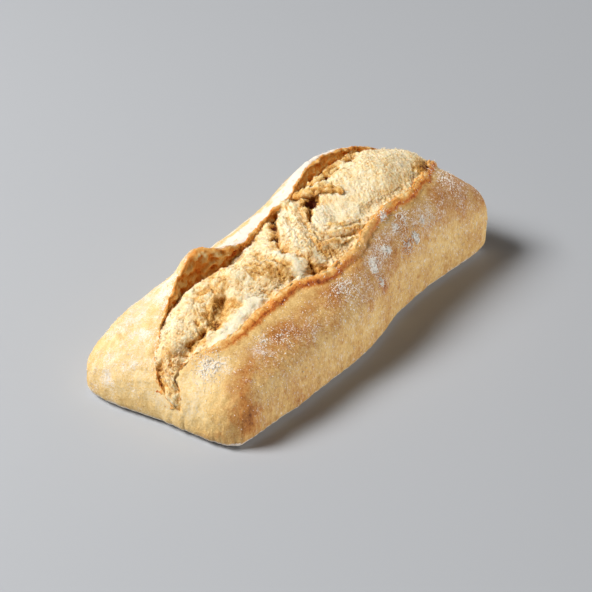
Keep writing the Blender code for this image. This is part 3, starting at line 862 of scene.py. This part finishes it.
# %% Flour lumps
# centre mm, radius mm, how much likelier a lump is there
CLUMPS = [((-73, -26, 37), 2.6, 12), ((-77, -26, 36), 1.5, 14), ((16, -36, 44), 2.8, 11),
          ((19, -37, 42), 1.4, 16), ((4, -36, 43), 2.6, 10), ((2, -38, 40), 2.2, 14),
          ((28, -27, 54), 2.6, 11), ((31, -33, 48), 2.4, 10), ((43, -37, 39), 2.2, 12),
          ((44, -38, 36), 1.5, 12), ((52, -36, 43), 2.4, 9), ((3, -42, 34), 2.0, 10),
          ((60, -39, 44), 4.0, 6), ((-56, -30, 40), 2.0, 14), ((-45, -39, 37), 2.5, 9),
          ((-77, -34, 35), 3.0, 9), ((40, -34, 52), 5.0, 6), ((-64, -33, 38), 5.0, 6),
          ((-98, -13, 32), 6.0, 6), ((90, -30, 52), 8.0, 5), ((-20, -38, 42), 7.0, 5),
          ((36, -41, 40), 7.0, 5)]
GRAINS, FULL_CLUMP = 9400, 12
PRESS, GRAIN_LIFT = 0.45, 0.2   # how flat a lump is pressed, and how far out it sits, in its own sizes
GOLDEN = (1 + 5**0.5) / 2
# The 12 corners and 20 faces of an icosahedron, with its corners 1 from its middle.
ROUND_CORNERS = np.array([np.roll((a, b * GOLDEN, 0), turn)
                          for turn in range(3) for b in (1, -1) for a in (-1, 1)]) / (1 + GOLDEN**2)**0.5
ROUND_FACES = np.array([(0, 11, 5), (0, 5, 1), (0, 1, 7), (0, 7, 10), (0, 10, 11), (1, 5, 9), (5, 11, 4),
                        (11, 10, 2), (10, 7, 6), (7, 1, 8), (3, 9, 4), (3, 4, 2), (3, 2, 6), (3, 6, 8),
                        (3, 8, 9), (4, 9, 5), (2, 4, 11), (6, 2, 10), (8, 6, 7), (9, 8, 1)])

clumps = patches(crust_grid, CLUMPS)
cell = np.linalg.norm(grid_cross(crust_grid), axis=-1)
chance = cell * skin * (clumps + 0.25 * flour + 0.10 + 0.16 * facing) * ease(z, 9 * MM, 14 * MM)
at = rng.choice(chance.size, GRAINS, p=(chance / chance.sum()).ravel())
spot = crust_grid.reshape(-1, 3)[at] + rng.normal(0, 0.3 * MM, (GRAINS, 3))
skin_normal = grid_normals(crust_grid).reshape(-1, 1, 3)[at]
clumped = np.clip(clumps.ravel()[at] / FULL_CLUMP, 0, 1)
grain_size = MM * (0.08 + 0.26 * rng.random(GRAINS)**1.8 + clumped * 0.6 * rng.random(GRAINS)**1.6)
grain_size = grain_size[:, None, None]
uneven = ROUND_CORNERS * rng.uniform(0.65, 1.25, (GRAINS, 12, 1))
pressed = uneven - PRESS * np.sum(uneven * skin_normal, axis=-1, keepdims=True) * skin_normal
grain_points = spot[:, None] + pressed * grain_size + skin_normal * (grain_size * GRAIN_LIFT)
grain_faces = ROUND_FACES + (np.arange(GRAINS) * 12)[:, None, None]
no_quads = np.zeros((0, 4), dtype=int)
flour_lumps = new_piece("flour", grain_points.reshape(-1, 3), no_quads, grain_faces.reshape(-1, 3), {})
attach(flour_lumps, "root")
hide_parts("loaf")

# %% [markdown]
# ## Materials
# Baked crust runs from cream through gold and orange-brown to dark brown, depending on how
# much heat each spot took. So the shape's functions gave every point a `bake_and_painted_light` value, which
# also holds painted light low on the near end and painted shade toward the foot of the burst's wall,
# and the material turns it into colour through a ramp, after adding finer mottling. Flour lies
# over it as a second, paler colour.

# %% Small helpers for node materials
def new_material(name, settings):
    """A fresh material, its node tree and its shader, with some of the shader's inputs set."""
    material = bpy.data.materials.new(name)
    material.use_nodes = True
    shader = material.node_tree.nodes["Principled BSDF"]
    for socket, value in settings.items():
        shader.inputs[socket].default_value = value
    return material, material.node_tree, shader


def wire(tree, value, socket):
    """Feed a socket from another socket, or set it to a plain value."""
    if isinstance(value, bpy.types.NodeSocket):
        tree.links.new(value, socket)
    else:
        socket.default_value = value


def math_node(tree, operation, first, *others, clamp=False):
    """One sum on two or more values, from left to right; clamp holds the outcome to 0..1."""
    for other in others:
        node = tree.nodes.new("ShaderNodeMath")
        node.operation = operation
        wire(tree, first, node.inputs[0])
        wire(tree, other, node.inputs[1])
        first = node.outputs[0]
    node.use_clamp = clamp
    return first


def plus(tree, *values, clamp=False):
    """Values added up."""
    return math_node(tree, "ADD", *values, clamp=clamp)


def times(tree, *values, clamp=False):
    """Values multiplied."""
    return math_node(tree, "MULTIPLY", *values, clamp=clamp)


def rest_of(tree, share):
    """What a share leaves: 1 - share."""
    return math_node(tree, "SUBTRACT", 1.0, share)


def spread(tree, value, reach):
    """Noise from 0 to 1 turned into a change round zero: (value - 0.5) times `reach`."""
    return times(tree, math_node(tree, "SUBTRACT", value, 0.5), reach)


# %% Layers, noise, ramps and bumps for materials
def field(tree, name):
    """A named layer of the mesh."""
    node = tree.nodes.new("ShaderNodeAttribute")
    node.attribute_name = name
    return node.outputs["Fac"]


def object_place(tree):
    """The place of each point in the object's own space."""
    return tree.nodes.new("ShaderNodeTexCoord").outputs["Object"]


def grain(tree, size, detail=3.0, stretch=(1, 1, 1), roughness=0.55):
    """Noise from 0 to 1 in the object's own space, `size` mm across, stretched by (x, y, z)."""
    mapping = tree.nodes.new("ShaderNodeMapping")
    mapping.inputs["Scale"].default_value = [1 / (size * MM * s) for s in stretch]
    tree.links.new(object_place(tree), mapping.inputs["Vector"])
    node = tree.nodes.new("ShaderNodeTexNoise")
    for socket, value in (("Scale", 1), ("Detail", detail), ("Roughness", roughness)):
        node.inputs[socket].default_value = value
    tree.links.new(mapping.outputs["Vector"], node.inputs["Vector"])
    return node.outputs["Fac"]


def upright_grain(tree, size, stretch, roughness):
    """Noise that runs up and down on the flanks, by the flank layer, and is even on the rest."""
    upright, even = [grain(tree, size, 3, (1, 1, tall), roughness) for tall in (stretch, 1)]
    share = field(tree, "flank")
    return plus(tree, times(tree, upright, share), times(tree, even, rest_of(tree, share)))


def low_edge(tree):
    """1 on the bottom edge, which lay in the flour, and 0 from 4.5 mm above the table up."""
    split = tree.nodes.new("ShaderNodeSeparateXYZ")
    tree.links.new(object_place(tree), split.inputs["Vector"])
    return rest_of(tree, step_up(tree, split.outputs["Z"], 2.2 * MM, 4.5 * MM))


def ramp(tree, value, stops):
    """A colour for each value: stops are (place, colour)."""
    node = tree.nodes.new("ShaderNodeValToRGB")
    elements = node.color_ramp.elements
    while len(elements) < len(stops):
        elements.new(0.5)
    for element, (place, colour) in zip(elements, stops):
        element.position = place
        element.color = (*colour, 1)
    wire(tree, value, node.inputs["Fac"])
    return node.outputs["Color"]


def step_up(tree, value, low, high):
    """A value mapped smoothly from 0 at low to 1 at high."""
    node = tree.nodes.new("ShaderNodeMapRange")
    node.interpolation_type = "SMOOTHSTEP"
    wire(tree, value, node.inputs["Value"])
    node.inputs["From Min"].default_value = low
    node.inputs["From Max"].default_value = high
    return node.outputs["Result"]


def blend(tree, share, under, over):
    """Two colours mixed by a share."""
    node = tree.nodes.new("ShaderNodeMix")
    node.data_type = "RGBA"
    wire(tree, share, node.inputs["Factor"])
    wire(tree, under, node.inputs["A"])
    wire(tree, over, node.inputs["B"])
    return node.outputs["Result"]


def relief(tree, height, depth, normal=None):
    """Fine bumps: `height` from 0 to 1 stands for `depth` mm, on top of another normal if given."""
    node = tree.nodes.new("ShaderNodeBump")
    node.inputs["Strength"].default_value = 1
    node.inputs["Distance"].default_value = depth * MM
    tree.links.new(height, node.inputs["Height"])
    if normal is not None:
        tree.links.new(normal, node.inputs["Normal"])
    return node.outputs["Normal"]


def srgb(red, green, blue):
    """A colour as a screen shows it, 0 to 255, turned into the linear values of a material."""
    shown = np.array([red, green, blue]) / 255
    linear = np.where(shown <= 0.04045, shown / 12.92, ((shown + 0.055) / 1.055)**2.4)
    return tuple(float(v) for v in linear)


# %% Crust material
CRUST_COLOURS = [(0.0, srgb(244, 224, 188)), (0.22, srgb(244, 211, 148)), (0.42, srgb(230, 189, 119)),
                 (0.6, srgb(208, 158, 92)), (0.78, srgb(190, 122, 54)), (1.0, srgb(120, 60, 22))]
TORN_COLOURS = [(0.1, srgb(250, 222, 164)), (0.35, srgb(242, 184, 102)), (0.6, srgb(230, 144, 56)),
                (0.8, srgb(198, 96, 26)), (1.0, srgb(104, 40, 10))]
FLOUR_COLOUR = srgb(248, 240, 230)
FLOUR_SHARE, FOOT_SHARE = 0.62, 0.36
DUST_STARTS, DUST_FULL, DUST_COVER = 0.63, 0.82, 0.85


def crust_material():
    """Golden crust: coloured by its baked tone and mottling, with painted light low on the near end and
    painted shade toward the foot of the burst's wall, dusted and streaked with flour.
    """
    material, tree, shader = new_material("baked_crust", {"Roughness": 0.62, "Specular IOR Level": 0.3})
    bake_and_painted_light, torn, floured = [field(tree, name) for name in ("bake_and_painted_light", "torn", "flour")]
    mottle = spread(tree, grain(tree, 5, 5, roughness=0.7), 0.5)
    specks = spread(tree, upright_grain(tree, 0.9, 2.5, roughness=0.75), 0.88)
    browning_and_painted_light = plus(tree, bake_and_painted_light, mottle, specks, clamp=True)
    skin_colour = blend(tree, torn, ramp(tree, browning_and_painted_light, CRUST_COLOURS), ramp(tree, browning_and_painted_light, TORN_COLOURS))
    streaks = upright_grain(tree, 0.6, 3, roughness=0.75)
    clouds = spread(tree, grain(tree, 4, 5, roughness=0.7), 0.5)
    amount = plus(tree, times(tree, floured, FLOUR_SHARE), clouds, times(tree, low_edge(tree), FOOT_SHARE))
    dust = step_up(tree, plus(tree, streaks, amount), DUST_STARTS, DUST_FULL)
    dust = times(tree, dust, rest_of(tree, torn), clamp=True)
    colour = blend(tree, times(tree, dust, DUST_COVER), skin_colour, (*FLOUR_COLOUR, 1))
    tree.links.new(colour, shader.inputs["Base Color"])
    coarse = relief(tree, grain(tree, 2.4, 3), 0.45)
    pores = relief(tree, upright_grain(tree, 0.8, 2.6, roughness=0.7), 0.42, coarse)
    tree.links.new(pores, shader.inputs["Normal"])
    return material


crust.data.materials.append(crust_material())

# %% Crumb material
CRUMB_COLOURS = [(0.0, srgb(255, 240, 210)), (0.3, srgb(252, 225, 176)), (0.52, srgb(236, 192, 121)),
                 (0.76, srgb(204, 144, 64)), (1.0, srgb(98, 38, 12))]


def crumb_material():
    """Soft torn crumb: cream, and golden where the heat caught it, darker with painted shade in its hollows,
    slits and crevices, lit through a little as bread is.
    """
    material, tree, shader = new_material("torn_crumb", {
        "Roughness": 0.75, "Specular IOR Level": 0.2, "Subsurface Weight": 0.45,
        "Subsurface Radius": (1.0, 0.85, 0.65), "Subsurface Scale": 3 * MM})
    mottle = spread(tree, grain(tree, 3, 4), 0.75)
    specks = spread(tree, grain(tree, 0.6, 3), 0.6)
    toasted_and_shaded = plus(tree, field(tree, "toast_and_shade"), mottle, specks, clamp=True)
    tree.links.new(ramp(tree, toasted_and_shaded, CRUMB_COLOURS), shader.inputs["Base Color"])
    tree.links.new(relief(tree, grain(tree, 0.8, 4, roughness=0.6), 0.35), shader.inputs["Normal"])
    return material


crumb_look = crumb_material()
crumb.data.materials.append(crumb_look)
strands.data.materials.append(crumb_look)


# %% Flour material
def flour_material():
    """Dry flour: nearly white, matt, a little creamy where it is thin."""
    material, tree, shader = new_material("dry_flour", {"Roughness": 0.95, "Specular IOR Level": 0.1})
    shade = ramp(tree, grain(tree, 2, 2), [(0.3, srgb(238, 228, 212)), (0.7, srgb(252, 248, 240))])
    tree.links.new(shade, shader.inputs["Base Color"])
    tree.links.new(relief(tree, grain(tree, 0.3, 2), 0.05), shader.inputs["Normal"])
    return material


flour_lumps.data.materials.append(flour_material())
for piece in (crust, crumb, strands, flour_lumps):
    print(piece.name, "is made of", piece.data.materials[0].name)

# %% [markdown]
# ## Floor, light and camera
# The loaf is shown on a plain pale floor under a large soft light from the left and above. A
# little light comes from all round, and two low cards light the right flank and the far end.
# The camera looks down along the loaf from the near right-hand side, with a long lens.

# %% Floor
HALF_FLOOR = 3.0
floor_mesh = bpy.data.meshes.new("floor")
floor_corners = [(x * HALF_FLOOR, y * HALF_FLOOR, 0) for x, y in ((-1, -1), (1, -1), (1, 1), (-1, 1))]
floor_mesh.from_pydata(floor_corners, [], [(0, 1, 2, 3)])
floor = bpy.data.objects.new("floor", floor_mesh)
bpy.context.scene.collection.objects.link(floor)
floor_look = {"Base Color": (*srgb(183, 186, 191), 1), "Roughness": 0.8, "Specular IOR Level": 0.2}
floor_mesh.materials.append(new_material("pale_floor", floor_look)[0])

# %% Light
world = bpy.data.worlds.new("soft_room")
bpy.context.scene.world = world
world.use_nodes = True
background = world.node_tree.nodes["Background"]
background.inputs["Color"].default_value = (0.93, 0.96, 1.0, 1)
background.inputs["Strength"].default_value = 0.06


def soft_light(name, towards, distance, width, height, power):
    """A rectangular area light facing the loaf, `distance` metres out along a direction; watts."""
    lamp = bpy.data.lights.new(name, "AREA")
    lamp.shape, lamp.size, lamp.size_y, lamp.energy = "RECTANGLE", width, height, power
    holder = bpy.data.objects.new(name, lamp)
    place = Vector(towards).normalized() * distance
    holder.location = place
    holder.rotation_euler = (-place).to_track_quat("-Z", "Y").to_euler()
    bpy.context.scene.collection.objects.link(holder)
    return lamp


key = soft_light("key", (-0.43, 0.52, 0.74), distance=2.2, width=0.9, height=0.9, power=65.5)
key.color = (1.0, 0.985, 0.96)
soft_light("white_card", (0.18, -0.96, 0.03), distance=1.4, width=1.0, height=0.08, power=12.4)
soft_light("end_card", (0.97, 0.2, 0.12), distance=1.4, width=0.7, height=0.2, power=3)

# %% Camera
AZIMUTH, ELEVATION = np.radians(-55.97), np.radians(31.85)
CAMERA_DISTANCE = 0.823
LOOK_AT = np.array([-11.9, -2.7, 20]) * MM - SHIFT
VIEW_ANGLE = np.radians(20)
SENSOR = 36   # mm
back = np.array(
    [np.sin(AZIMUTH) * np.cos(ELEVATION), -np.cos(AZIMUTH) * np.cos(ELEVATION), np.sin(ELEVATION)])
side = np.array([np.cos(AZIMUTH), np.sin(AZIMUTH), 0])
above = np.cross(back, side)
camera = bpy.data.objects.new("camera", bpy.data.cameras.new("camera"))
bpy.context.scene.collection.objects.link(camera)
turn = Matrix(np.stack([side, above, back], axis=1).tolist()).to_4x4()
camera.matrix_world = Matrix.Translation((LOOK_AT + back * CAMERA_DISTANCE).tolist()) @ turn
camera.data.sensor_width = SENSOR
camera.data.lens = SENSOR / 2 / np.tan(VIEW_ANGLE / 2)
camera.data.clip_start = 0.01
bpy.context.scene.camera = camera
bpy.context.scene.view_settings.view_transform = "Standard"
print("the camera's lens is", round(camera.data.lens, 1), "mm")
